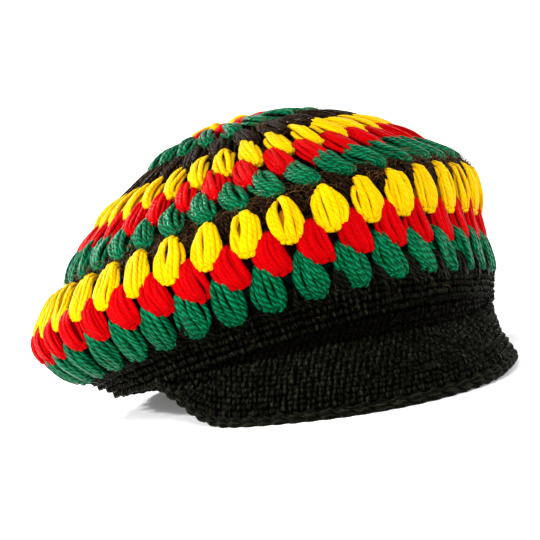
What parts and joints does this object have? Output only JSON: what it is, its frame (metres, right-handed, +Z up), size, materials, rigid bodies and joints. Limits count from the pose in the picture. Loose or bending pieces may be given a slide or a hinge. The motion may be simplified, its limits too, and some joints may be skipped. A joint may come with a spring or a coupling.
{
  "type": "peaked rasta tam",
  "caption": "Slouchy crocheted rasta tam in red, yellow, green and black puff-stitch rounds, with a close black headband and a soft crocheted peak.",
  "frame": {"origin": "on the floor, under the middle of the hat's bounding box", "axes": "+Z up as the hat rests on the edge of its peak and the back of its band; the peak faces -Y; the wearer's left is +X"},
  "size_m": [0.2294, 0.2684, 0.1325],
  "materials": {
    "yarn_black": "soft, slightly hairy black-brown yarn",
    "yarn_green": "deep green plied yarn with a slight sheen",
    "yarn_red": "bright red plied yarn",
    "yarn_yellow": "bright yellow plied yarn with a slight sheen"
  },
  "bodies": {
    "root": {"round_12_black": "yarn_black", "round_11_green": "yarn_green", "round_10_red": "yarn_red", "round_09_yellow": "yarn_yellow", "round_08_black": "yarn_black", "round_07_green": "yarn_green", "round_06_red": "yarn_red", "round_05_yellow": "yarn_yellow", "round_04_black": "yarn_black", "round_03_green": "yarn_green", "round_02_red": "yarn_red", "round_01_yellow": "yarn_yellow", "band": "yarn_black", "peak": "yarn_black", "peak_cord": "yarn_black"}
  },
  "joints": []
}
